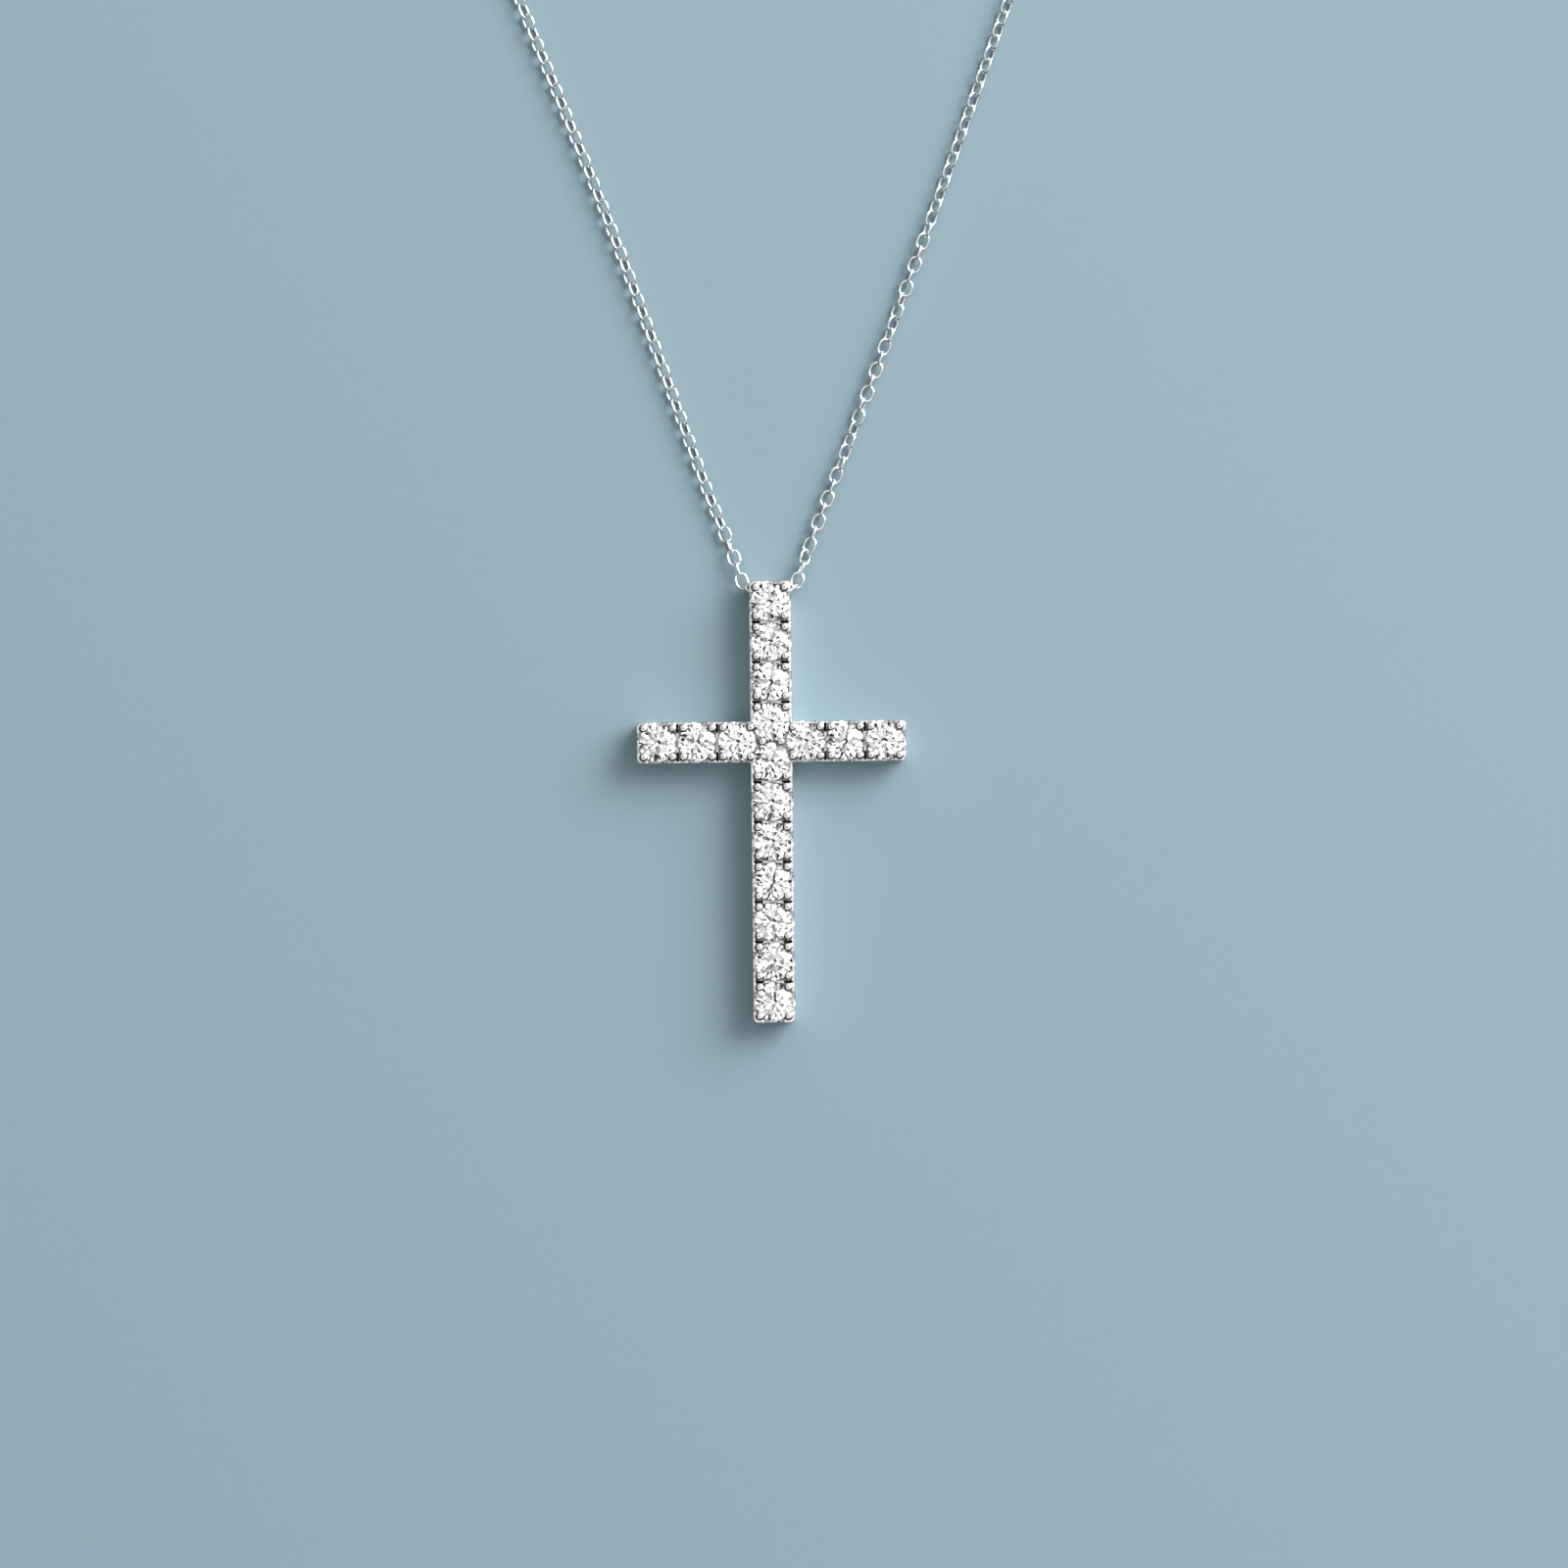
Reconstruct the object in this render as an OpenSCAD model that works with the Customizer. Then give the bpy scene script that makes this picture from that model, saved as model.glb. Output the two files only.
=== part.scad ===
// Cross pendant on a fine cable chain, lying on its back, face up.
// Lengths are in millimetres. +X is to the right and +Y towards the neck, as seen from the front.
// The origin is the middle of the crossing, on the flat back that the cross lies on.

/* [Stones] */
// Diameter of each round stone at its girdle
stone_d = 2.42; // [2.2:0.02:2.8]
// Width of the table, corner to corner
table_w = 1.38; // [1.24:0.02:1.5]
// Height of the crown above the girdle
crown_h = 0.36; // [0.3:0.01:0.42]
// Thickness of the girdle
girdle_h = 0.06; // [0.04:0.01:0.1]
// Depth of the pavilion below the girdle
pavilion_h = 1.03; // [0.96:0.01:1.12]
// Space between neighbouring stones of the upright
stone_gap = 0.10; // [0.08:0.01:0.2]
// Space between neighbouring stones of an arm
arm_gap = 0.08; // [0.07:0.01:0.2]
// Turn of each stone against the one before it, in degrees
stone_turn = 17; // [0:1:45]

/* [Cross] */
// Stones of the upright above the crossing
stones_above = 4; // [3:1:6]
// Stones of the upright below the crossing
stones_below = 7; // [4:1:9]
// Stones of each arm
arm_stones = 3; // [2:1:5]
// How far the upright's walls stand out past its stones
upright_edge = 0.11; // [0.09:0.01:0.2]
// How far the arms' walls stand out past their stones
arm_edge = 0.08; // [0.07:0.01:0.2]
// How far each end wall stands out past the last stone
end_edge = 0.13; // [0.12:0.01:0.2]

/* [Setting] */
// Thickness of the back plate
base_t = 0.26; // [0.2:0.02:0.4]
// Thickness of the outer walls
wall_t = 0.28; // [0.22:0.02:0.32]
// Radius of the walls' upright outer corners
corner_r = 0.30; // [0.2:0.02:0.4]
// Thickness of the webs between the stones
web_t = 0.26; // [0.18:0.02:0.28]
// How far the walls end below the girdle
wall_drop = 0.06; // [0.04:0.01:0.1]
// How far the webs end below the girdle
web_drop = 0.14; // [0.12:0.01:0.2]
// Radius of the scallop cut into a wall beside each stone
scallop_r = 0.60; // [0.4:0.02:0.62]
// Radius of the open window behind each stone
window_r = 0.75; // [0.5:0.05:0.8]
// Space between a stone and its seat
seat_gap = 0.02; // [0.01:0.005:0.03]

/* [Prongs] */
// Radius of a prong's post
prong_r = 0.24; // [0.2:0.01:0.25]
// Radius of a prong's domed tip
tip_r = 0.27; // [0.255:0.005:0.28]
// Height of the tip's top above the girdle
tip_rise = 0.32; // [0.3:0.01:0.34]
// Radius to which the tip is domed
dome_r = 0.36; // [0.32:0.01:0.5]
// How far a prong's centre lies outside the girdle
prong_out = 0.07; // [0.05:0.01:0.09]
// How far a prong in an inner corner lies outside the girdle of the arm's stone
corner_out = 0.03; // [0.02:0.01:0.06]
// Angle of a prong in an inner corner about the arm's stone, in degrees
corner_angle = 48; // [46:1:50]
// Distance of each middle prong from the centre of the crossing
middle_x = 0.59; // [0.56:0.01:0.62]
// Width of the slot between the prongs of neighbouring stones
slot_w = 0.16; // [0.1:0.02:0.18]
// Depth of that slot below the top of the walls
slot_h = 0.70; // [0.3:0.05:0.8]

/* [Neck chain] */
// Width of a chain link, which is the chain's thickness
chain_w = 0.92; // [0.8:0.02:1.0]
// Space round the chain where it passes through the head of the cross
bail_gap = 0.09; // [0.06:0.01:0.12]
// Space between the chain and the stone above it
chain_stone_gap = 0.09; // [0.06:0.01:0.15]
// Metal left between the chain's tunnel and the back plate
bail_sill = 0.04; // [0.02:0.01:0.1]
// Metal left between the chain's tunnel and the end wall
bail_end_gap = 0.03; // [0.02:0.01:0.06]

/* [Clasp] */
// Outer diameter of the clasp's hoop
hoop_d = 5.5; // [5:0.1:7]
// Thickness of the hoop's wire
hoop_wire = 1.0; // [0.8:0.05:1.2]
// Outer diameter of the small eye on the hoop
eye_d = 1.9; // [1.8:0.1:2.4]
// Thickness of the eye's wire
eye_wire = 0.50; // [0.4:0.02:0.5]
// Outer diameter of the rings at the chain's ends
ring_d = 3.0; // [2.8:0.1:4]
// Thickness of the rings' wire
ring_wire = 0.42; // [0.36:0.02:0.5]
// Play between rings that are linked
link_gap = 0.08; // [0.05:0.01:0.12]
// Tilt of the clasp off the surface, in degrees
clasp_tilt = 20; // [14:1:24]
// Tilt of the rings off the surface, in degrees
ring_tilt = 50; // [46:1:60]

/* [Hidden] */
STEPS = 48;
TUBE_SIDES = 8;
STRETCH_STEPS = 2;
METAL = "silver";
DIAMOND = "aliceblue";

// Share of the way from girdle to table at which the star facets end, and of the way from girdle
// to culet at which the lower halves end
star_share = 0.5;
lower_half_share = 0.77;
// How far the eye is sunk into the hoop, for the solder joint between them
eye_sink = 0.15;
// A stone's four prongs stand at the corners of a square
square_angle = 45;
// Overshoot that lets a cut run clear past a face
cut = 0.5;

stone_r = stone_d / 2;
table_r = table_w / 2;
// Angle between one main facet and the next
facet_angle = 45;
half_angle = facet_angle / 2;
apothem = table_r * cos(half_angle);
// Outer corners of the star facets, which stand out a little from a plain cone
star_r = apothem + star_share * (stone_r - apothem);
star_z = crown_h * (stone_r - star_r * cos(half_angle)) / (stone_r - table_r);
// Lower ends of the lower halves
lower_r = (1 - lower_half_share) * stone_r;
lower_z = pavilion_h * (1 - lower_r * cos(half_angle) / stone_r);

pitch = stone_d + stone_gap;
arm_pitch = stone_d + arm_gap;
// An arm's first stone nests between the two stones of the upright that meet at the crossing
nest_x = sqrt(pow(arm_pitch, 2) - pow(pitch / 2, 2));

half_w = stone_r + upright_edge;
arm_half = stone_r + arm_edge;
top_y = (stones_above - 0.5) * pitch;
top_end = top_y + stone_r + end_edge;
low_end = (stones_below - 0.5) * pitch + stone_r + end_edge;
arm_end = nest_x + (arm_stones - 1) * arm_pitch + stone_r + end_edge;

// The chain crosses the head through a tunnel behind the top stone, which sets the stones' height
chain_r = chain_w / 2;
bail_r = chain_r + bail_gap;
bail_y = top_end - wall_t - bail_end_gap - bail_r;
bail_z = base_t + bail_sill + bail_r;
slope = pavilion_h / stone_r;
chain_under_stone = (chain_r + chain_stone_gap) * sqrt(1 + pow(slope, 2));
culet_z = bail_z + chain_under_stone - slope * (bail_y - top_y);
girdle_z = culet_z + pavilion_h;
girdle_top = girdle_z + girdle_h;
table_z = girdle_top + crown_h;
wall_top = girdle_z - wall_drop;
web_top = girdle_z - web_drop;
tip_top = girdle_top + tip_rise;

prong_at = (stone_r + prong_out) * cos(square_angle);
corner_x = nest_x - (stone_r + corner_out) * cos(corner_angle);
corner_y = (stone_r + corner_out) * sin(corner_angle);

// Centres of the stones, the upright's from the top down and the arms' from the crossing outwards
upright_n = stones_above + stones_below;
upright_y = [for (i = [1:upright_n]) (stones_above - i + 0.5) * pitch];
arm_x = [for (i = [1:arm_stones]) nest_x + (i - 1) * arm_pitch];
all_stones = concat(
    [for (y = upright_y) [0, y]],
    [for (side = [-1, 1]) for (x = arm_x) [side * x, 0]]
);

// The clasp's parts lie along one line at the top of the neck loop
hoop_r = (hoop_d - hoop_wire) / 2;
eye_r = (eye_d - eye_wire) / 2;
ring_r = (ring_d - ring_wire) / 2;
eye_x = -(hoop_d / 2 + eye_r - eye_sink);
left_ring_x = eye_x - (eye_r + ring_r - eye_wire / 2 - ring_wire / 2 - link_gap);
right_ring_x = hoop_r + ring_r - hoop_wire / 2 - ring_wire / 2 - link_gap;
line_z = max(hoop_r * sin(clasp_tilt) + hoop_wire / 2, ring_r * sin(ring_tilt) + ring_wire / 2);
clasp_x = -(left_ring_x + right_ring_x) / 2;

// Route of the neck chain. Each point is the distance out from the upright's side, the distance
// up from the tunnel and the height above the resting chain. Both strands share the far stretch.
MOUTH = [[0.42, 0.17, 0.36], [0.62, 0.6, 0.33], [0.7, 1.2, 0.28]];
LEFT_STRAND = [[1.1, 2.6, 0.1], [2.4, 6.2, 0], [4.8, 13, 0], [8.1, 22.3, 0], [13.9, 37.3, 0]];
RIGHT_STRAND = [[1.0, 2.5, 0.1], [2.4, 6.1, 0], [5.1, 13, 0], [8.7, 22.5, 0], [14.2, 37.5, 0]];
FAR_STRETCH = [
    [29.2, 76.5, 0], [40.4, 105.3, 0], [44.2, 115.5, 0], [47.3, 126.2, 0], [48.9, 139, 0],
    [47.4, 151, 0], [43.1, 162.2, 0], [35.7, 172.8, 0], [26, 180.9, 0], [14.5, 186.6, 0.2]
];
// Distance from the last of those points up to the line on which the clasp lies
clasp_rise = 2.0;

left_end_x = clasp_x + left_ring_x - ring_d / 2 - link_gap;
right_end_x = clasp_x + right_ring_x + ring_d / 2 + link_gap;
clasp_y = bail_y + FAR_STRETCH[len(FAR_STRETCH) - 1][1] + clasp_rise;

function unit(v) = v / norm(v);
function placed(p, side) = [side * (half_w + p[0]), bail_y + p[1], chain_r + p[2]];
function reversed(list) = [for (i = [len(list) - 1:-1:0]) list[i]];
function strand(near, side) = [for (p = concat(MOUTH, near, FAR_STRETCH)) placed(p, side)];

route = concat(
    [[left_end_x, clasp_y, line_z]],
    reversed(strand(LEFT_STRAND, -1)),
    [for (x = [-half_w, 0, half_w]) [x, bail_y, bail_z]],
    strand(RIGHT_STRAND, 1),
    [[right_end_x, clasp_y, line_z]]
);

// Direction of a route at one of its points: the two legs' directions, the shorter leg's weighing more
function way(path, i) =
    i == 0 ? unit(path[1] - path[0]) :
    i == len(path) - 1 ? unit(path[i] - path[i - 1]) :
    let (before = path[i] - path[i - 1], after = path[i + 1] - path[i])
    unit(before * norm(after) / norm(before) + after * norm(before) / norm(after));

// Point at share t of the leg from point i to the next, on a cubic that keeps both directions
function on_leg(path, i, t) =
    let (leg = norm(path[i + 1] - path[i]), u = 1 - t)
    path[i] * u * u * (1 + 2 * t) + path[i + 1] * t * t * (3 - 2 * t)
    + leg * (way(path, i) * t * u * u - way(path, i + 1) * t * t * u);

// No point of the chain's middle line lies lower than the resting chain's
function rested(p) = [p[0], p[1], max(p[2], chain_r)];

function smooth(path, steps) = concat(
    [for (i = [0:len(path) - 2]) for (s = [0:steps - 1]) rested(on_leg(path, i, s / steps))],
    [path[len(path) - 1]]
);

// Ring of points round a line, square to its direction, starting at its right-hand side
function ring_at(centre, dir, r, sides) =
    let (across = unit(cross(dir, [0, 0, 1])), up = cross(across, dir))
    [for (j = [0:sides - 1]) centre + r * (cos(360 * j / sides) * across + sin(360 * j / sides) * up)];

// Closed tube swept along a path
module tube(path, r, sides) {
    rings = [for (i = [0:len(path) - 1]) each ring_at(path[i], way(path, i), r, sides)];
    last = (len(path) - 1) * sides;
    polyhedron(
        points = rings,
        faces = concat(
            [reversed([for (j = [0:sides - 1]) j])],
            [for (i = [0:len(path) - 2]) for (j = [0:sides - 1])
                let (k = (j + 1) % sides, a = i * sides, b = a + sides) [a + j, a + k, b + k, b + j]],
            [[for (j = [0:sides - 1]) last + j]]
        )
    );
}

// Bar with rounded upright edges, from one end to the other along Y
module bar_outline(half, low, high, r) {
    translate([-half, low + r]) square([2 * half, high - low - 2 * r]);
    translate([-half + r, low]) square([2 * half - 2 * r, high - low]);
    for (x = [-half + r, half - r]) for (y = [low + r, high - r])
        translate([x, y]) circle(r, $fn = STEPS);
}

module cross_outline() {
    bar_outline(half_w, -low_end, top_end, corner_r);
    rotate(90) bar_outline(arm_half, -arm_end, arm_end, corner_r);
}

// The open channel between the outer walls
module channel_outline() {
    translate([wall_t - half_w, wall_t - low_end])
        square([2 * (half_w - wall_t), low_end + top_end - 2 * wall_t]);
    translate([wall_t - arm_end, wall_t - arm_half])
        square([2 * (arm_end - wall_t), 2 * (arm_half - wall_t)]);
}

// Upright web of metal between two stones, of a length across and turned about its own middle
module web(x, y, turn, length) {
    translate([x, y, base_t / 2]) rotate(turn)
        translate([-length / 2, -web_t / 2]) cube([length, web_t, web_top - base_t / 2]);
}

module webs() {
    upright_reach = 2 * (half_w - wall_t / 2);
    arm_reach = 2 * (arm_half - wall_t / 2);
    for (i = [1:upright_n - 1]) if (i != stones_above)
        web(0, (stones_above - i) * pitch, 0, upright_reach);
    for (side = [-1, 1]) for (i = [1:arm_stones - 1])
        web(side * (arm_x[i] - arm_pitch / 2), 0, 90, arm_reach);
    // The crossing's webs run from prong to prong
    web(0, 0, 0, 2 * middle_x);
    lean = atan2(corner_y, corner_x - middle_x);
    for (sx = [-1, 1]) for (sy = [-1, 1])
        web(sx * (middle_x + corner_x) / 2, sy * corner_y / 2, sx * sy * lean,
            norm([corner_x - middle_x, corner_y]));
}

// Post with a wider, domed tip, which starts as high as the stones' girdle
module prong(x, y) {
    post_top = girdle_z + tip_rise / 2;
    translate([x, y, base_t / 2]) cylinder(r = prong_r, h = post_top - base_t / 2, $fn = STEPS);
    intersection() {
        translate([x, y, girdle_z]) cylinder(r = tip_r, h = dome_r, $fn = STEPS);
        translate([x, y, tip_top - dome_r]) sphere(dome_r, $fn = STEPS);
    }
}

module prongs() {
    // Four to a stone, but the pair that would stand in the crossing is left out
    for (side = [-1, 1]) {
        for (i = [1:upright_n]) {
            if (i != stones_above + 1) prong(side * prong_at, upright_y[i - 1] + prong_at);
            if (i != stones_above) prong(side * prong_at, upright_y[i - 1] - prong_at);
        }
        for (x = arm_x) for (y = [-prong_at, prong_at]) {
            prong(side * (x + prong_at), y);
            if (x > nest_x) prong(side * (x - prong_at), y);
        }
        for (y = [-corner_y, corner_y]) prong(side * corner_x, y);
        prong(side * middle_x, 0);
    }
}

// Room for one stone, a little larger than the stone's corners all round
module seat(x, y) {
    translate([x, y, 0]) rotate_extrude($fn = STEPS) polygon([
        [0, culet_z - seat_gap],
        [lower_r + seat_gap, girdle_z - lower_z - seat_gap],
        [stone_r + seat_gap, girdle_z - seat_gap],
        [stone_r + seat_gap, girdle_top + seat_gap],
        [star_r + seat_gap, girdle_top + star_z + seat_gap],
        [table_r + seat_gap, table_z + seat_gap],
        [0, table_z + seat_gap]
    ]);
}

// Slot between the prongs of neighbouring stones, as long as a tip is wide
module slot(x, y, turn) {
    translate([x, y, wall_top - slot_h]) rotate(turn)
        translate([-tip_r, -slot_w / 2, 0]) cube([2 * tip_r, slot_w, slot_h + cut]);
}

module slots() {
    for (side = [-1, 1]) {
        for (i = [1:upright_n - 1]) if (i != stones_above)
            slot(side * prong_at, (stones_above - i) * pitch, 0);
        for (i = [1:arm_stones - 1]) for (y = [-prong_at, prong_at])
            slot(side * (arm_x[i] - arm_pitch / 2), y, 90);
    }
}

// Half-round notches in the top of the walls, one beside each stone that has a wall beside it
module scallops() {
    for (i = [1:upright_n]) if (i != stones_above && i != stones_above + 1)
        translate([0, upright_y[i - 1], wall_top]) rotate([0, 90, 0])
            cylinder(r = scallop_r, h = 2 * (half_w + cut), center = true, $fn = STEPS);
    for (side = [-1, 1]) for (x = arm_x)
        translate([side * x, 0, wall_top]) rotate([90, 0, 0])
            cylinder(r = scallop_r, h = 2 * (arm_half + cut), center = true, $fn = STEPS);
    for (y = [-low_end, top_end])
        translate([0, y, wall_top]) rotate([90, 0, 0])
            cylinder(r = scallop_r, h = 2 * wall_t + cut, center = true, $fn = STEPS);
    for (x = [-arm_end, arm_end])
        translate([x, 0, wall_top]) rotate([0, 90, 0])
            cylinder(r = scallop_r, h = 2 * wall_t + cut, center = true, $fn = STEPS);
}

module setting() {
    color(METAL) difference() {
        union() {
            difference() {
                linear_extrude(wall_top) cross_outline();
                translate([0, 0, base_t]) linear_extrude(wall_top) channel_outline();
            }
            webs();
            prongs();
        }
        scallops();
        slots();
        for (p = all_stones) {
            translate([p[0], p[1], -cut])
                cylinder(r = window_r, h = cut + base_t + bail_sill / 2, $fn = STEPS);
            seat(p[0], p[1]);
        }
        translate([0, bail_y, bail_z]) rotate([0, 90, 0])
            cylinder(r = bail_r, h = 2 * (half_w + cut), center = true, $fn = STEPS);
    }
}

// Ring of points at one height, a number of them from a first angle on
function level(r, z, count, first) =
    [for (k = [0:count - 1]) [r * cos(first + 360 * k / count), r * sin(first + 360 * k / count), z]];

// Round brilliant with eight-fold facets: table, stars, kites and halves over a sixteen-sided
// girdle, and mains and halves below it that meet in the culet
module brilliant() {
    points = concat(
        level(table_r, girdle_h + crown_h, 8, 0),
        level(star_r, girdle_h + star_z, 8, half_angle),
        level(stone_r, girdle_h, 16, 0),
        level(stone_r, 0, 16, 0),
        level(lower_r, -lower_z, 8, half_angle),
        [[0, 0, -pavilion_h]]
    );
    star = 8;
    upper = 16;
    under = 32;
    low = 48;
    culet = 56;
    sectors = [for (k = [0:7])
        let (next = (k + 1) % 8, prev = (k + 7) % 8, m = 2 * k, m1 = m + 1, m2 = (m + 2) % 16)
        [
            [k, next, star + k],
            [k, star + k, upper + m, star + prev],
            [star + k, upper + m1, upper + m],
            [star + k, upper + m2, upper + m1],
            [under + m, upper + m, upper + m1, under + m1],
            [under + m1, upper + m1, upper + m2, under + m2],
            [under + m, under + m1, low + k],
            [under + m1, under + m2, low + k],
            [culet, low + prev, under + m, low + k]
        ]
    ];
    polyhedron(points = points, faces = concat([[for (k = [7:-1:0]) k]], [for (s = sectors) each s]));
}

// One stone, in the order of all_stones, each turned a little further than the last
module stone(index) {
    color(DIAMOND) translate([all_stones[index][0], all_stones[index][1], girdle_z])
        rotate(stone_turn * index) brilliant();
}

module neck_chain() {
    color(METAL) tube(smooth(route, STRETCH_STEPS), chain_r, TUBE_SIDES);
}

// Ring of round wire
module wire_ring(centre_r, wire) {
    rotate_extrude($fn = STEPS) translate([centre_r, 0]) circle(wire / 2, $fn = STEPS);
}

// Puts a part on the clasp's line, tilted about that line
module on_line(x, tilt) {
    translate([clasp_x + x, clasp_y, line_z]) rotate([tilt, 0, 0]) children();
}

module clasp() {
    color(METAL) on_line(0, clasp_tilt) {
        wire_ring(hoop_r, hoop_wire);
        translate([eye_x, 0, 0]) wire_ring(eye_r, eye_wire);
    }
}

module clasp_ring() {
    color(METAL) on_line(left_ring_x, -ring_tilt) wire_ring(ring_r, ring_wire);
}

module chain_ring() {
    color(METAL) on_line(right_ring_x, -ring_tilt) wire_ring(ring_r, ring_wire);
}

setting();
for (i = [1:upright_n])
    stone(i - 1);
for (i = [1:arm_stones])
    stone(upright_n + i - 1);
for (i = [1:arm_stones])
    stone(upright_n + arm_stones + i - 1);
neck_chain();
clasp();
clasp_ring();
chain_ring();
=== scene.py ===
"""A cross of round stones on a fine cable chain, lying face up on a pale floor."""
import math

import bpy
import numpy as np
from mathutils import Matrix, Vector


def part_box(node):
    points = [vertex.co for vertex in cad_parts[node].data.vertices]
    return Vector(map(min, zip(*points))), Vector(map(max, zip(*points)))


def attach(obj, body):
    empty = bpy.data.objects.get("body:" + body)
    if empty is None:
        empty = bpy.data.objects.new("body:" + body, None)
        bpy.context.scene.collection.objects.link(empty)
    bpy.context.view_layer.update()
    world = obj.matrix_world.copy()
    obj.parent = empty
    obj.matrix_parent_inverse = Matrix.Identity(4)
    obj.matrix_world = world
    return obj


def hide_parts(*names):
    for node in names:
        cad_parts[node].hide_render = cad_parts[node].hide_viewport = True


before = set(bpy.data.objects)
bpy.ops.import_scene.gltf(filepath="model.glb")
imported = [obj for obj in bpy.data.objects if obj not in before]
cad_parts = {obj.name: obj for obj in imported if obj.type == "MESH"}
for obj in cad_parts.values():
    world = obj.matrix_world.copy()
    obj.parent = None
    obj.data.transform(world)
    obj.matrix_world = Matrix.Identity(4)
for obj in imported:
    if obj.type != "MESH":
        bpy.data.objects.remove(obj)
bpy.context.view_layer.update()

# The view. The camera looks straight down on the cross, from as far off as a table-top picture is
# taken. The picture is square, and the stones' spacing in it gives its scale.
MM = 0.001                    # in metres
PICTURE_PX = 1600
MM_PER_PX = 0.06176
CROSSING_PX = (787, 757)      # middle of the crossing in the picture
LEAN = math.radians(0.62)     # the cross leans this far to the left in the picture
CAMERA_HEIGHT = 450 * MM      # above the stones
STONE_HEIGHT = 2.2 * MM       # the picture's scale holds at the stones
NEAR_LIMIT = 10 * MM
FAR_LIMIT = 5                 # metres


def picture_point(px, py):
    """Point of the object's own plane under a pixel: pixels from the crossing times the scale,
    turned back by the cross's lean. In metres."""
    x = (px - CROSSING_PX[0]) * MM_PER_PX * MM
    y = (CROSSING_PX[1] - py) * MM_PER_PX * MM
    return (x * math.cos(LEAN) + y * math.sin(LEAN), y * math.cos(LEAN) - x * math.sin(LEAN))


camera = bpy.data.objects.new("camera", bpy.data.cameras.new("camera"))
bpy.context.scene.collection.objects.link(camera)
bpy.context.scene.camera = camera
middle = picture_point(PICTURE_PX / 2, PICTURE_PX / 2)
camera.location = (middle[0], middle[1], STONE_HEIGHT + CAMERA_HEIGHT)
camera.rotation_euler = (0, 0, -LEAN)
camera.data.lens = camera.data.sensor_width * CAMERA_HEIGHT / (PICTURE_PX * MM_PER_PX * MM)
camera.data.clip_start = NEAR_LIMIT
camera.data.clip_end = FAR_LIMIT


# The setting. It is cast in one piece from white gold, with its prongs raised over the edges of
# the stones, and is polished and plated with rhodium, which makes it whiter than steel.
PLATE = "#F4F4F4"
POLISH = (0.16, 0.26)         # the plate's roughness, from its smoothest patches to the most worn
PATCH_WAVES = 5               # the patches are as wide as this many of the polishing waves
PATCH_DETAIL = 3.0            # steps of ever finer noise in the patches
WAVE_DETAIL = 2.0             # and in the waves
NOISE_SPREAD = (0.35, 0.65)   # most values of a noise lie between these
TIP_HEIGHT = 2.26             # above it are the prong tips alone
TIP_BLEND = 0.04              # height over which the tips' burnish sets in
TIP_ROUGHNESS = 0.13
TIP_WAVES = 0.1               # share of the waves that the burnisher leaves
EDGE_RADIUS = 0.20            # polishing rounds the light on edges as if they had this radius
TIP_EDGE_RADIUS = 0.08
EDGE_RAYS = 6                 # rays that look for the edges near a point
GAP_REACH = 0.45              # metal with anything else nearer than this lies in a gap, which is darkened with painted shade
GAP_RAYS = 8                  # rays that look for what is near


def linear(hex_colour):
    """Linear colour of an sRGB hex value: the standard's straight foot and its 2.4 power."""
    s = np.array([int(hex_colour[i:i + 2], 16) / 255 for i in (1, 3, 5)])
    return (*np.where(s <= 0.04045, s / 12.92, ((s + 0.055) / 1.055) ** 2.4), 1.0)


def add_node(tree, kind, inputs=None, **settings):
    """Adds a node with its settings and fills its inputs, which go by name or number, each with a
    value or with the output that is linked to it. A node stands for its own first output."""
    node = tree.nodes.new(kind)
    for name, value in settings.items():
        setattr(node, name, value)
    for key, value in (inputs or {}).items():
        if isinstance(value, bpy.types.Node):
            value = value.outputs[0]
        if isinstance(value, bpy.types.NodeSocket):
            tree.links.new(value, node.inputs[key])
        else:
            node.inputs[key].default_value = value
    return node


def new_material(name):
    """Material with an empty tree."""
    material = bpy.data.materials.new(name)
    material.use_nodes = True
    material.node_tree.nodes.clear()
    return material


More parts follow.
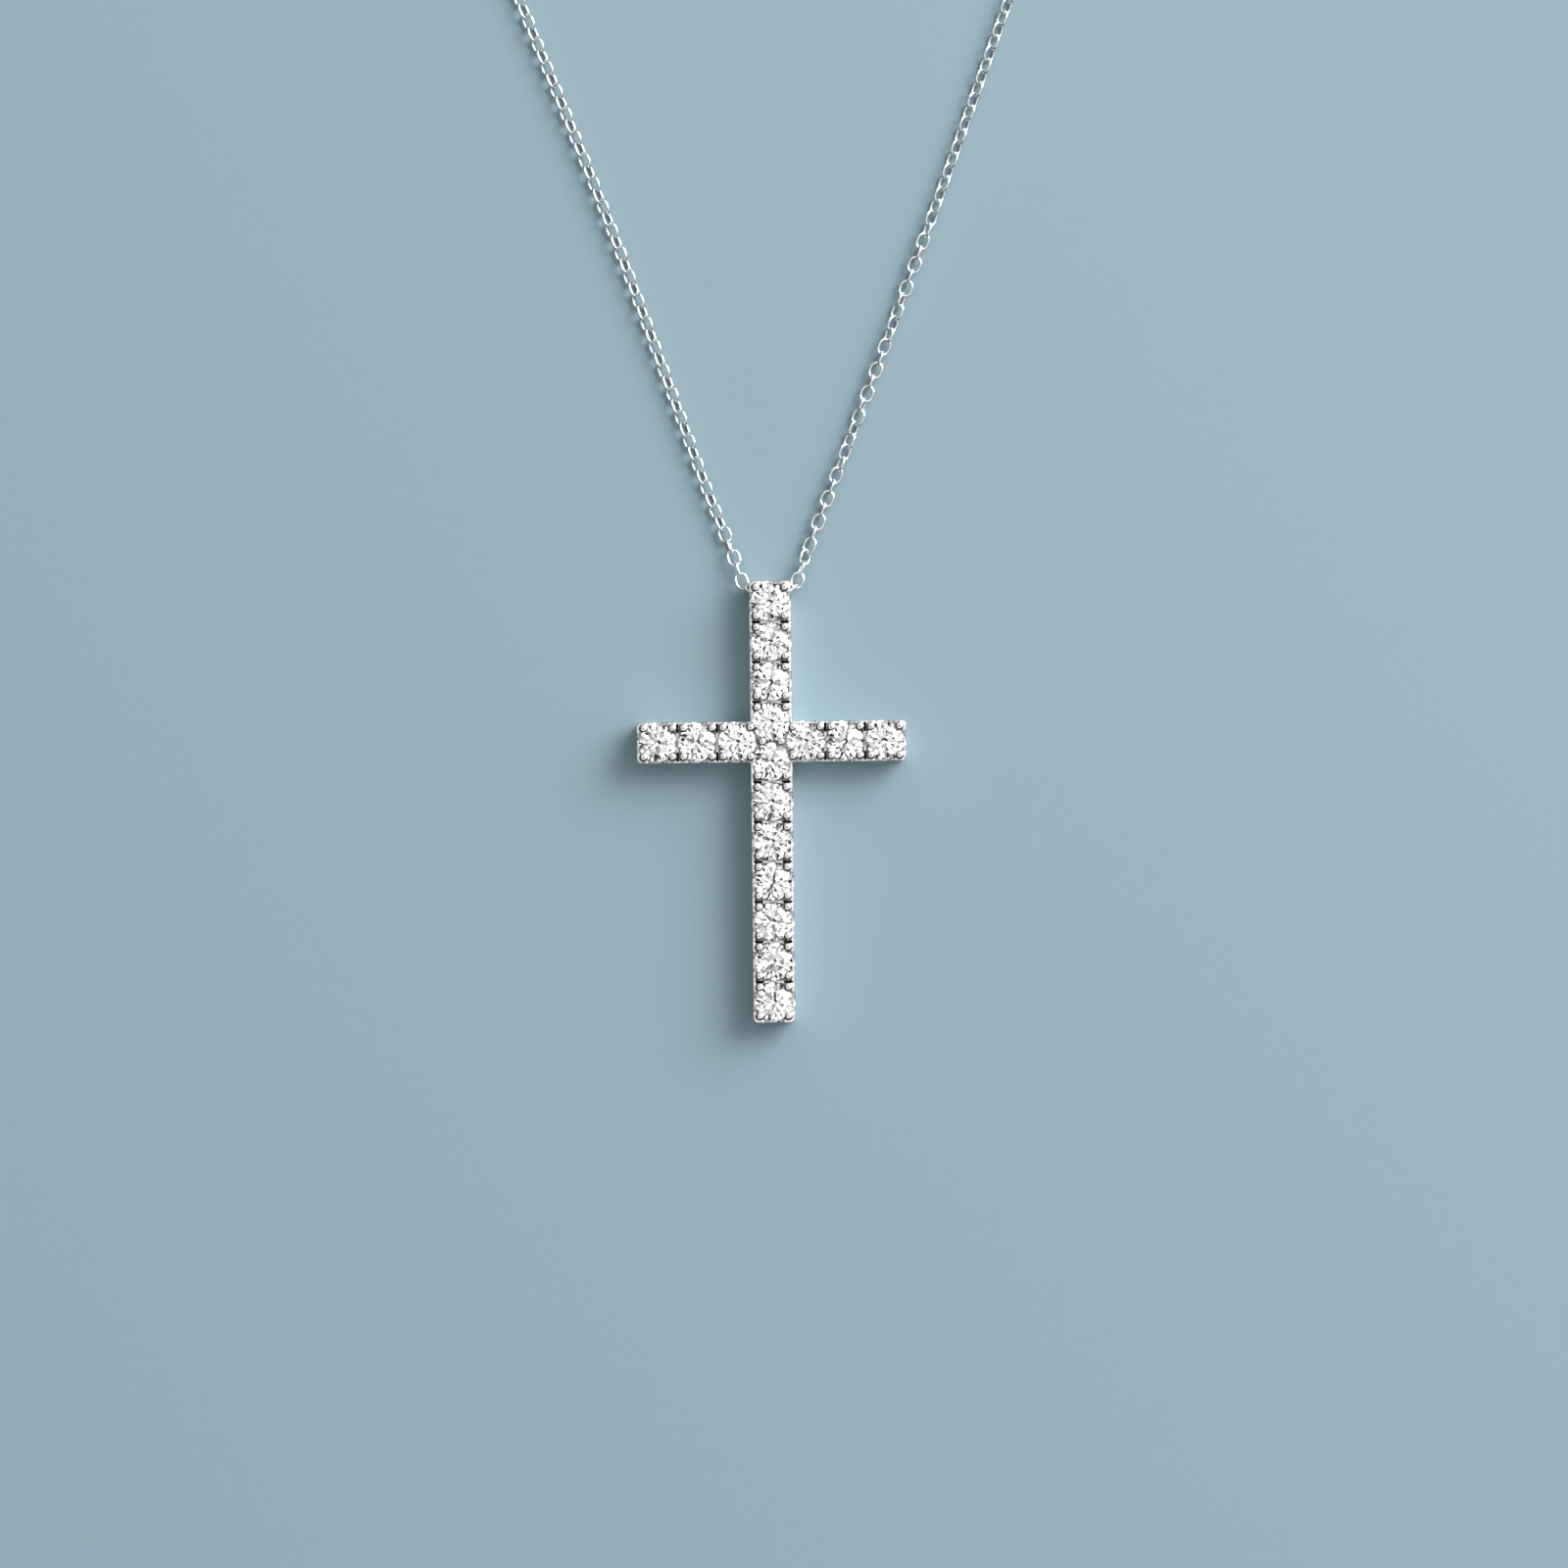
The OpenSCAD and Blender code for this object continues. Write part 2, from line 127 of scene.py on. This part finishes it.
def polished_plate(name, painted_shade, open_share, wave_gap, wave_depth, tip_height):
    """Rhodium plate on polished gold: a white mirror whose gloss changes a little over the metal,
    with the faint waves that a polishing wheel leaves, wave_gap apart and wave_depth deep, and
    with its edges worn round. What stands above tip_height is burnished: smoother, crisper and
    nearly without waves. Gaps get painted shade: from the lesser to the greater share of open
    space round a point, the metal goes from the painted shade's dark colour to the plate's white."""
    material = new_material(name)
    tree = material.node_tree
    place = add_node(tree, "ShaderNodeTexCoord").outputs["Object"]
    up = add_node(tree, "ShaderNodeSeparateXYZ", {"Vector": place}).outputs["Z"]
    tip = add_node(tree, "ShaderNodeMapRange", {
        "Value": up, "From Min": tip_height * MM, "From Max": (tip_height + TIP_BLEND) * MM})
    patches = add_node(tree, "ShaderNodeTexNoise", {
        "Vector": place, "Scale": 1 / (PATCH_WAVES * wave_gap * MM), "Detail": PATCH_DETAIL})
    gloss = add_node(tree, "ShaderNodeMapRange", {
        "Value": patches, "From Min": NOISE_SPREAD[0], "From Max": NOISE_SPREAD[1],
        "To Min": POLISH[0], "To Max": POLISH[1]})
    shine = add_node(tree, "ShaderNodeMix", {0: tip, 2: gloss, 3: TIP_ROUGHNESS}, data_type="FLOAT")
    waves = add_node(tree, "ShaderNodeTexNoise", {
        "Vector": place, "Scale": 1 / (wave_gap * MM), "Detail": WAVE_DETAIL})
    calm = add_node(tree, "ShaderNodeMapRange", {"Value": tip, "To Min": 1.0, "To Max": TIP_WAVES})
    radius = add_node(tree, "ShaderNodeMapRange", {
        "Value": tip, "To Min": EDGE_RADIUS * MM, "To Max": TIP_EDGE_RADIUS * MM})
    edge = add_node(tree, "ShaderNodeBevel", {"Radius": radius}, samples=EDGE_RAYS)
    relief = add_node(tree, "ShaderNodeBump", {
        "Height": waves, "Strength": calm, "Distance": wave_depth * MM, "Normal": edge})
    # Painted shade: the colour darkens where other surfaces lie near, standing in for the shade in
    # gaps
    space = add_node(tree, "ShaderNodeAmbientOcclusion", {"Distance": GAP_REACH * MM},
                     samples=GAP_RAYS)
    unshaded = add_node(tree, "ShaderNodeMapRange", {
        "Value": space.outputs["AO"], "From Min": open_share[0], "From Max": open_share[1]})
    tone = add_node(tree, "ShaderNodeMix", {
        0: unshaded, 6: linear(painted_shade), 7: linear(PLATE)}, data_type="RGBA")
    metal = add_node(tree, "ShaderNodeBsdfPrincipled", {
        "Metallic": 1.0, "Base Color": tone.outputs[2], "Roughness": shine, "Normal": relief})
    add_node(tree, "ShaderNodeOutputMaterial", {"Surface": metal})
    return material


def dress(node, material):
    """Gives a frame node a material in place of the plain one that it came with."""
    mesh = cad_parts[node].data
    mesh.materials.clear()
    mesh.materials.append(material)


# The eye sees white metal with soft bright walls, crisp tips and black slots. The wheel's real
# waves are some hundredths of a millimetre apart, and are drawn coarser here so that they show.
# Colour of the painted shade in the slots and round the tips, and the open shares between which it
# fades out
SETTING_PAINTED_SHADE = "#101012"
SETTING_OPEN_SHARE = (0.22, 0.45)
SETTING_WAVE_GAP = 0.14
SETTING_WAVE_DEPTH = 0.007
dress("setting", polished_plate("rhodium_plated_white_gold", SETTING_PAINTED_SHADE, SETTING_OPEN_SHARE,
                                SETTING_WAVE_GAP, SETTING_WAVE_DEPTH, TIP_HEIGHT))

# The stones. Each is a diamond cut as a round brilliant and polished, and is held at its edge by
# four prongs.
DIAMOND_INDEX = 2.417

# The eye sees no colour, only sparkle: the facets below send the light from above back up in
# white patches, with small dark ones where they mirror a dark place.
diamond = new_material("polished_diamond")
diamond_tree = diamond.node_tree
clear = add_node(diamond_tree, "ShaderNodeBsdfPrincipled", {
    "Base Color": linear("#FFFFFF"), "Roughness": 0.0, "IOR": DIAMOND_INDEX,
    "Transmission Weight": 1.0})
add_node(diamond_tree, "ShaderNodeOutputMaterial", {"Surface": clear})
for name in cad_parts:
    if "_stone_" in name:
        dress(name, diamond)

# The neck chain. It is a cable chain of oval links of round white gold wire, each link soldered
# shut and turned square to its neighbours. It runs through the tunnel in the cross's head, lies
# on the floor from there, and ends in two rings. Lengths are in millimetres.
LINK_LENGTH = 1.20            # outside
LINK_WIDTH = 0.92             # outside
LINK_WIRE = 0.19
LINK_PITCH = 0.79             # from one link's middle to the next one's
LINK_SIDES = 16               # segments round a link
WIRE_SIDES = 6                # segments round its wire
HALF_HEAD = 1.32              # half the width of the cross's head
TUNNEL_Y = 9.30               # the tunnel runs straight across the head at this place
TUNNEL_Z = 0.85
TUBE_RADIUS = 0.46            # the resting chain's height in the frame
# Route from the tunnel's mouth on: distance out from the head's side, up from the tunnel, and
# above the resting chain
MOUTH = [[0.15, 0.25, 0.38], [0.42, 0.85, 0.34], [0.6, 1.4, 0.28]]
LEFT_STRAND = [[1.0, 2.6, 0.1], [2.4, 6.2, 0], [4.8, 13, 0], [8.1, 22.3, 0], [13.9, 37.3, 0]]
RIGHT_STRAND = [[1.0, 2.5, 0.1], [2.4, 6.1, 0], [5.1, 13, 0], [8.7, 22.5, 0], [14.2, 37.5, 0]]
FAR_STRETCH = [
    [29.2, 76.5, 0], [40.4, 105.3, 0], [44.2, 115.5, 0], [47.3, 126.2, 0], [48.9, 139, 0],
    [47.4, 151, 0], [43.1, 162.2, 0], [35.7, 172.8, 0], [26, 180.9, 0], [14.5, 186.6, 0.2],
]
# Twist of the chain: distance along it from the middle of the tunnel, and turn in degrees
LEFT_TWIST = [[0, 0], [4.0, 0], [6.0, 36], [30, 36], [60, 40], [110, 50]]
RIGHT_TWIST = [[0, 0], [2.4, 0], [4.8, -90], [7.9, -90], [15, -180], [16.6, -180], [22.1, -270],
               [23.7, -270], [27, -315], [60, -310], [110, -320]]
RING_TILT = 50                # the end rings' tilt, which their links lie square to
RING_WIRE = 0.42              # as thick as the frame's rings
RING_PLAY = 0.03              # between a ring's wire and its link's
REST_GAP = 0.004              # under the resting links
TUNNEL_SHARE = 0.75           # how far out along the tunnel the chain runs straight
STEPS_PER_LEG = 60            # points of the route from one of its rows to the next
EVENING_ROUNDS = 12           # rounds that even out the links' steps
LOOSE_LINKS = 2               # links that turn at the tunnel's mouth, and so hang less tight
LOOSE_SHARE = 0.91            # share of the pitch that they keep


def units(v):
    """Rows scaled to length one."""
    return v / np.linalg.norm(v, axis=-1, keepdims=True)


def smooth_route(points, steps):
    """Cubic Hermite curve through the points. Its direction at a point is that of the legs before
    and after it, the shorter weighing more, and each leg's ends pull with the leg's length."""
    legs = np.diff(points, axis=0)
    reach = np.linalg.norm(legs, axis=1, keepdims=True)
    inner = units(legs[:-1] * reach[1:] / reach[:-1] + legs[1:] * reach[:-1] / reach[1:])
    ways = np.vstack([units(legs[:1]), inner, units(legs[-1:])])
    t = (np.arange(steps) / steps)[None, :, None]
    u = 1 - t
    curve = (points[:-1, None] * u * u * (1 + 2 * t) + points[1:, None] * t * t * (3 - 2 * t)
             + reach[:, None] * (ways[:-1, None] * t * u * u - ways[1:, None] * t * t * u))
    return np.vstack([curve.reshape(-1, 3), points[-1:]])


def link_steps(curve, pitch):
    """Points along a curve a link's pitch apart in a straight line, as near as a whole number of
    steps allows, and their distances along it. The first, loose links keep a share of the pitch.
    Each round makes every step longer in the measure in which its chord was too short."""
    run = np.concatenate([[0], np.cumsum(np.linalg.norm(np.diff(curve, axis=0), axis=1))])
    share = np.ones(round(run[-1] / pitch))
    share[:LOOSE_LINKS] = LOOSE_SHARE
    distance = np.linspace(0, run[-1], len(share) + 1)
    for _ in range(EVENING_ROUNDS):
        points = np.stack([np.interp(distance, run, axis) for axis in curve.T], axis=1)
        steps = share * np.diff(distance) / np.linalg.norm(np.diff(points, axis=0), axis=1)
        distance = run[-1] * np.concatenate([[0], np.cumsum(steps)]) / steps.sum()
    return points, distance


def ring_joint(ring, side):
    """Where the last link takes hold of its ring: the link's inner end lies inside the ring, with
    a little play to the ring's wire."""
    low, high = (np.array(corner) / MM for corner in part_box(ring))
    joint = (low + high) / 2
    wire_x = (low[0] if side < 0 else high[0]) - side * RING_WIRE / 2
    hook = (LINK_LENGTH - LINK_WIRE - LINK_PITCH) / 2
    joint[0] = wire_x - side * (RING_WIRE / 2 + RING_PLAY + LINK_WIRE / 2 - hook)
    return joint


def strand(near, twist_rows, ring, side):
    """Points at which a strand's links meet, from the side of the link in the tunnel's middle to
    a ring, and each link's roll. A link is rolled a quarter turn against the one before it, plus
    the chain's own twist there, which ends with the last link square to the ring."""
    outer = [[side * (HALF_HEAD + out), TUNNEL_Y + up, TUBE_RADIUS + lift]
             for out, up, lift in MOUTH + near + FAR_STRETCH]
    tunnel = [[side * x, TUNNEL_Y, TUNNEL_Z] for x in (LINK_PITCH / 2, HALF_HEAD * TUNNEL_SHARE)]
    joints, distance = link_steps(
        smooth_route(np.array([*tunnel, *outer, ring_joint(ring, side)]), STEPS_PER_LEG),
        LINK_PITCH)
    # The link in the tunnel's middle has the first quarter turn, so a strand starts at the second
    quarter = 90 * (np.arange(len(joints)) + 2)
    square = side * (90 - RING_TILT) - quarter[-2]
    settled = square + 180 * round((twist_rows[-1][1] - square) / 180)
    rows = np.array(twist_rows + [[distance[-1], settled]], float)
    twist = np.interp(distance, rows[:, 0], rows[:, 1])
    # Where the chain rests, its height is that of the taller of two neighbours
    tallest = np.maximum(np.abs(np.cos(np.radians(twist))), np.abs(np.sin(np.radians(twist))))
    joints[:, 2] = (np.maximum(joints[:, 2], TUBE_RADIUS) - TUBE_RADIUS
                    + (LINK_WIDTH - LINK_WIRE) / 2 * tallest + LINK_WIRE / 2 + REST_GAP)
    roll = (quarter + twist)[:-1] + np.diff(twist) / 2
    return joints, np.radians(roll)


def link_shape():
    """Points and quads of one link, long axis X and width Y. Its centre line is a circle drawn
    apart by a straight middle, and a circle of wire is carried round it."""
    bend = (LINK_WIDTH - LINK_WIRE) / 2
    straight = (LINK_LENGTH - LINK_WIDTH) / 2
    half = LINK_SIDES // 2
    turn = np.linspace(-90, 90, half)
    angle = np.radians(np.concatenate([turn, turn + 180]))
    side = np.repeat([1, -1], half)
    out = np.stack([np.cos(angle), np.sin(angle), 0 * angle], axis=1)
    line = bend * out + np.stack([straight * side, 0 * angle, 0 * angle], axis=1)
    spin = np.radians(np.arange(WIRE_SIDES) * 360 / WIRE_SIDES)
    wire = LINK_WIRE / 2 * (np.cos(spin)[None, :, None] * out[:, None]
                            + np.sin(spin)[None, :, None] * np.array([0, 0, 1]))
    a, b = np.meshgrid(np.arange(LINK_SIDES), np.arange(WIRE_SIDES), indexing="ij")
    a1, b1 = (a + 1) % LINK_SIDES, (b + 1) % WIRE_SIDES
    quads = np.stack([a * WIRE_SIDES + b, a1 * WIRE_SIDES + b, a1 * WIRE_SIDES + b1,
                      a * WIRE_SIDES + b1], axis=-1).reshape(-1, 4)
    return (line[:, None] + wire).reshape(-1, 3), quads


def lay_links(joints, roll):
    """Points and quads of a row of links. Each link lies midway between two joints, points from
    the one to the other, and is rolled about that line from lying flat."""
    centres = (joints[1:] + joints[:-1]) / 2
    ahead = units(np.diff(joints, axis=0))
    flat = units(np.cross(ahead, [0, 0, 1]))
    up = np.cross(flat, ahead)
    width = np.cos(roll)[:, None] * flat + np.sin(roll)[:, None] * up
    face = np.cross(ahead, width)
    shape, quads = link_shape()
    points = centres[:, None] + np.einsum("pk,kil->ipl", shape, np.stack([ahead, width, face]))
    step = np.arange(len(centres))[:, None, None] * len(shape)
    return points.reshape(-1, 3), (quads[None] + step).reshape(-1, 4)


def mesh_piece(name, points_mm, faces, material):
    """Smooth-shaded object at the origin, with its place in its mesh, from points in millimetres."""
    mesh = bpy.data.meshes.new(name)
    mesh.from_pydata((points_mm * MM).tolist(), [], faces.tolist())
    mesh.polygons.foreach_set("use_smooth", np.ones(len(faces), bool))
    mesh.materials.append(material)
    mesh.update()
    piece = bpy.data.objects.new(name, mesh)
    bpy.context.scene.collection.objects.link(piece)
    return piece


left_joints, left_roll = strand(LEFT_STRAND, LEFT_TWIST, "clasp_ring", -1)
right_joints, right_roll = strand(RIGHT_STRAND, RIGHT_TWIST, "chain_ring", 1)
# One link, lying edge on, joins the two strands in the tunnel's middle
link_points, link_quads = lay_links(
    np.vstack([left_joints[::-1], right_joints]),
    np.concatenate([-left_roll[::-1], [math.pi / 2], right_roll]))

# The eye sees white wire with dark lines where links meet. Drawing leaves the wire smoother than
# the cast cross, so its waves are fainter, and none of it is burnished.
# Colour of the painted shade where links meet, and the open shares between which it fades out
WIRE_PAINTED_SHADE = "#18181A"
WIRE_OPEN_SHARE = (0.15, 0.42)
WIRE_WAVE_GAP = 0.10
WIRE_WAVE_DEPTH = 0.002
NO_TIPS = 9.0                 # higher than anything on the chain
chain_gold = polished_plate("rhodium_plated_wire", WIRE_PAINTED_SHADE, WIRE_OPEN_SHARE, WIRE_WAVE_GAP,
                            WIRE_WAVE_DEPTH, NO_TIPS)
cable_chain = mesh_piece("cable_chain", link_points, link_quads, chain_gold)
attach(cable_chain, "root")
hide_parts("neck_chain")

# The clasp and the rings at the chain's ends. They are bent from round white gold wire, soldered
# shut, polished and plated as the chain is.
for name in ("clasp", "clasp_ring", "chain_ring"):
    dress(name, chain_gold)

# The floor. It is a plain matt board in pale grey blue, large enough to fill every view.
FLOOR_HALF = 2000             # half its width, in millimetres
FLOOR_GAP = 0.02              # keeps its face off the cross's back
FLOOR_ROUGHNESS = 0.9

floor_paint = new_material("matt_painted_board")
matt = add_node(floor_paint.node_tree, "ShaderNodeBsdfPrincipled", {
    "Base Color": linear("#8096A0"), "Roughness": FLOOR_ROUGHNESS})
add_node(floor_paint.node_tree, "ShaderNodeOutputMaterial", {"Surface": matt})
floor_corners = FLOOR_HALF * np.array([[-1, -1], [1, -1], [1, 1], [-1, 1]])
floor = mesh_piece("floor", np.column_stack([floor_corners, np.full(4, -FLOOR_GAP)]),
                   np.array([[0, 1, 2, 3]]), floor_paint)

# The key light. It is a square softbox to the upper right, turned to face the cross, so that soft
# shadows fall to the lower left.
KEY_PLACE = (0.55, 0.40, 0.50)    # metres
KEY_SIZE = 0.60
KEY_POWER = 10.4                  # watts

softbox = bpy.data.lights.new("key", "AREA")
softbox.size = KEY_SIZE
softbox.energy = KEY_POWER
key = bpy.data.objects.new("key", softbox)
bpy.context.scene.collection.objects.link(key)
key.location = KEY_PLACE
key.rotation_euler = key.location.to_track_quat("Z", "Y").to_euler()

# The tent. White panels with dark gaps between them stand round the table, which gives the metal
# and the stones both bright and dark places to mirror. The camera looks in through a hole in the
# roof, and a dark skirt runs round the foot and stands highest to the lower left. A direction is
# told by its share along an axis: 1 is straight along it and 0 is square to it.
HOLE_RIM = (0.997, 0.999)         # share upwards at the hole's outer and inner rim
HOLE_GLOW = 0.25                  # share of the light that comes through the hole
SKIRT_AXIS = (0.28, 0.28, 0.92)   # leans away from the side where the skirt is highest
SKIRT_RIM = (0.43, 0.53)          # share along that axis at the skirt's lower and upper rim
SKIRT_GLOW = 0.02
PANEL_COUNT = 6.0                 # about as many panels and gaps as this, from side to side
PANEL_PATTERN = 6.0               # picks one of the noise's patterns
PANEL_DETAIL = 2.0                # steps of ever finer noise in their outlines
PANEL_RIM = (0.41, 0.58)          # the noise's value at a gap's rim and at a panel's
PANEL_GLOW = (0.05, 1.73)         # light of gaps and panels
FOOT_RIM = (-0.05, -0.10)         # share upwards at which the plain light below the floor sets in
FOOT_GLOW = 0.6

studio = bpy.data.worlds.new("studio")
bpy.context.scene.world = studio
studio.use_nodes = True
tent = studio.node_tree
tent.nodes.clear()
way = add_node(tent, "ShaderNodeTexCoord").outputs["Generated"]
height = add_node(tent, "ShaderNodeVectorMath", {0: way, 1: (0, 0, 1)},
                  operation="DOT_PRODUCT").outputs["Value"]
hole = add_node(tent, "ShaderNodeMapRange", {
    "Value": height, "From Min": HOLE_RIM[0], "From Max": HOLE_RIM[1],
    "To Min": 1.0, "To Max": HOLE_GLOW})
facing = add_node(tent, "ShaderNodeVectorMath", {0: way, 1: SKIRT_AXIS},
                  operation="DOT_PRODUCT").outputs["Value"]
skirt = add_node(tent, "ShaderNodeMapRange", {
    "Value": facing, "From Min": SKIRT_RIM[0], "From Max": SKIRT_RIM[1],
    "To Min": SKIRT_GLOW, "To Max": 1.0})
cells = add_node(tent, "ShaderNodeTexNoise", {
    "Vector": way, "W": PANEL_PATTERN, "Scale": PANEL_COUNT, "Detail": PANEL_DETAIL},
    noise_dimensions="4D")
panels = add_node(tent, "ShaderNodeMapRange", {
    "Value": cells, "From Min": PANEL_RIM[0], "From Max": PANEL_RIM[1],
    "To Min": PANEL_GLOW[0], "To Max": PANEL_GLOW[1]})
lining = add_node(tent, "ShaderNodeMath", {0: hole, 1: skirt}, operation="MULTIPLY")
above = add_node(tent, "ShaderNodeMath", {0: lining, 1: panels}, operation="MULTIPLY")
below = add_node(tent, "ShaderNodeMapRange", {
    "Value": height, "From Min": FOOT_RIM[0], "From Max": FOOT_RIM[1],
    "To Min": 0.0, "To Max": FOOT_GLOW})
whole = add_node(tent, "ShaderNodeMath", {0: above, 1: below}, operation="MAXIMUM")
glow = add_node(tent, "ShaderNodeBackground", {"Color": linear("#FFFFFF"), "Strength": whole})
add_node(tent, "ShaderNodeOutputWorld", {"Surface": glow})
# The picture shows the tones as they are, without a film's curve
bpy.context.scene.view_settings.view_transform = "Standard"
